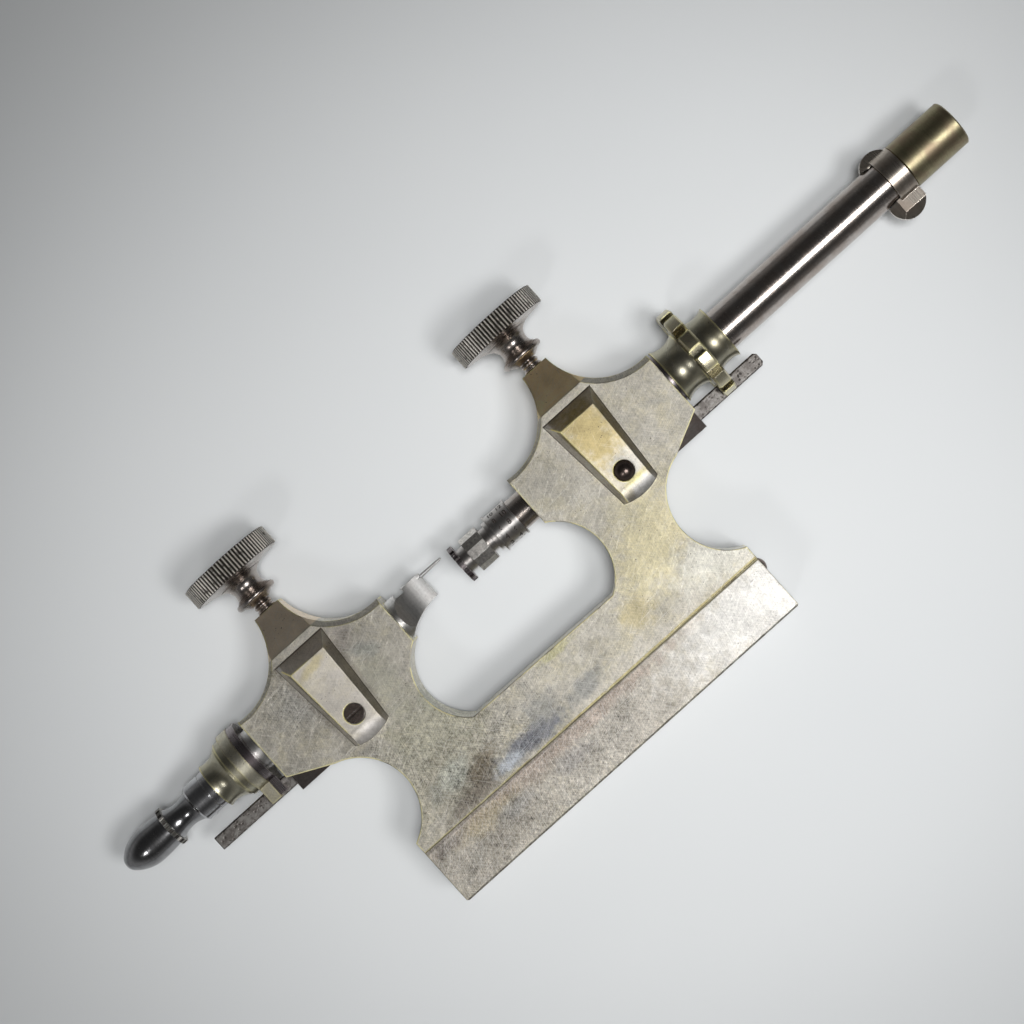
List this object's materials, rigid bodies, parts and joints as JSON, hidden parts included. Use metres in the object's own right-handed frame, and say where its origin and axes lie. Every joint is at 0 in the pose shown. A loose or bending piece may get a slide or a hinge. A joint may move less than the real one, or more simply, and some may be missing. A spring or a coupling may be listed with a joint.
{
  "type": "pivot polishing lathe",
  "caption": "Small bench lathe for polishing watch pivots: nickelled frame on a foot bar, two thumbscrew-clamped heads, a sliding runner and an indexing spindle.",
  "frame": {"origin": "middle of the whole tool's footprint, on the surface it lies on", "axes": "+X along the spindles towards the long tube, +Y from the foot bar towards the thumbscrews, +Z out of the front face"},
  "size_m": [0.1494, 0.056, 0.0145],
  "materials": {
    "nickelled_brass": "worn nickel plate over brass",
    "worn_brass": "plate worn through to the brass",
    "polished_steel": "polished",
    "dark_steel": "dark, polished",
    "blued_steel": "dark blued",
    "pitted_steel": "pitted"
  },
  "bodies": {
    "frame": {"frame_casting": "nickelled_brass", "foot_bar": "nickelled_brass", "foot_screws": "blued_steel", "seam_screw": "blued_steel", "left_cap_block": "nickelled_brass", "right_cap_block": "worn_brass", "left_cap_screw": "blued_steel", "right_cap_screw": "polished_steel", "left_guide_bracket": "dark_steel", "right_guide_bracket": "dark_steel", "bracket_screws": "blued_steel", "left_guide_bar": "pitted_steel", "right_guide_bar": "pitted_steel"},
    "left_shoe": {"left_clamp_shoe": "worn_brass"},
    "left_screw": {"left_thumbscrew": "polished_steel"},
    "right_shoe": {"right_clamp_shoe": "worn_brass"},
    "right_screw": {"right_thumbscrew": "polished_steel"},
    "runner": {"left_sleeve": "polished_steel", "needle": "polished_steel", "left_hub": "nickelled_brass", "guide_arm": "nickelled_brass", "arm_flange": "dark_steel"},
    "knob": {"acorn_knob": "dark_steel", "milled_ring": "dark_steel", "knob_ferrule": "polished_steel", "draw_rod": "polished_steel"},
    "bush": {"right_sleeve": "dark_steel"},
    "spindle": {"bed_wheel": "dark_steel", "index_drum": "polished_steel", "spindle_rod": "polished_steel", "index_hub": "nickelled_brass", "index_wheel": "nickelled_brass", "spindle_tube": "polished_steel", "end_barrel": "polished_steel"},
    "collar": {"wing_collar": "polished_steel"}
  },
  "joints": [
    {"name": "left_shoe_slide", "type": "slide", "parent": "frame", "child": "left_shoe", "axis": [0, 1, 0], "range_m": [0, 0.0021]},
    {"name": "left_screw_turn", "type": "hinge", "parent": "left_shoe", "child": "left_screw", "pos_m": [-0.03717, 0.019, 0.0074], "axis": [0, 1, 0], "range_deg": [0, 1080]},
    {"name": "right_shoe_slide", "type": "slide", "parent": "frame", "child": "right_shoe", "axis": [0, 1, 0], "range_m": [0, 0.0021]},
    {"name": "right_screw_turn", "type": "hinge", "parent": "right_shoe", "child": "right_screw", "pos_m": [0.01123, 0.019, 0.0074], "axis": [0, 1, 0], "range_deg": [0, 1080]},
    {"name": "runner_slide", "type": "slide", "parent": "frame", "child": "runner", "axis": [1, 0, 0], "range_m": [-0.0085, 0.001]},
    {"name": "knob_turn", "type": "hinge", "parent": "runner", "child": "knob", "pos_m": [-0.06028, 0.006, 0.0074], "axis": [1, 0, 0], "continuous": true},
    {"name": "bush_slide", "type": "slide", "parent": "frame", "child": "bush", "axis": [1, 0, 0], "range_m": [0, 0.008]},
    {"name": "spindle_turn", "type": "hinge", "parent": "bush", "child": "spindle", "pos_m": [0.02873, 0.006, 0.0074], "axis": [1, 0, 0], "continuous": true},
    {"name": "collar_turn", "type": "hinge", "parent": "spindle", "child": "collar", "pos_m": [0.06413, 0.006, 0.0074], "axis": [1, 0, 0], "continuous": true}
  ],
  "couplings": [
    {"joint": "left_shoe_slide", "follows": "left_screw_turn", "m_per_rad": 0.0001114},
    {"joint": "right_shoe_slide", "follows": "right_screw_turn", "m_per_rad": 0.0001114}
  ]
}
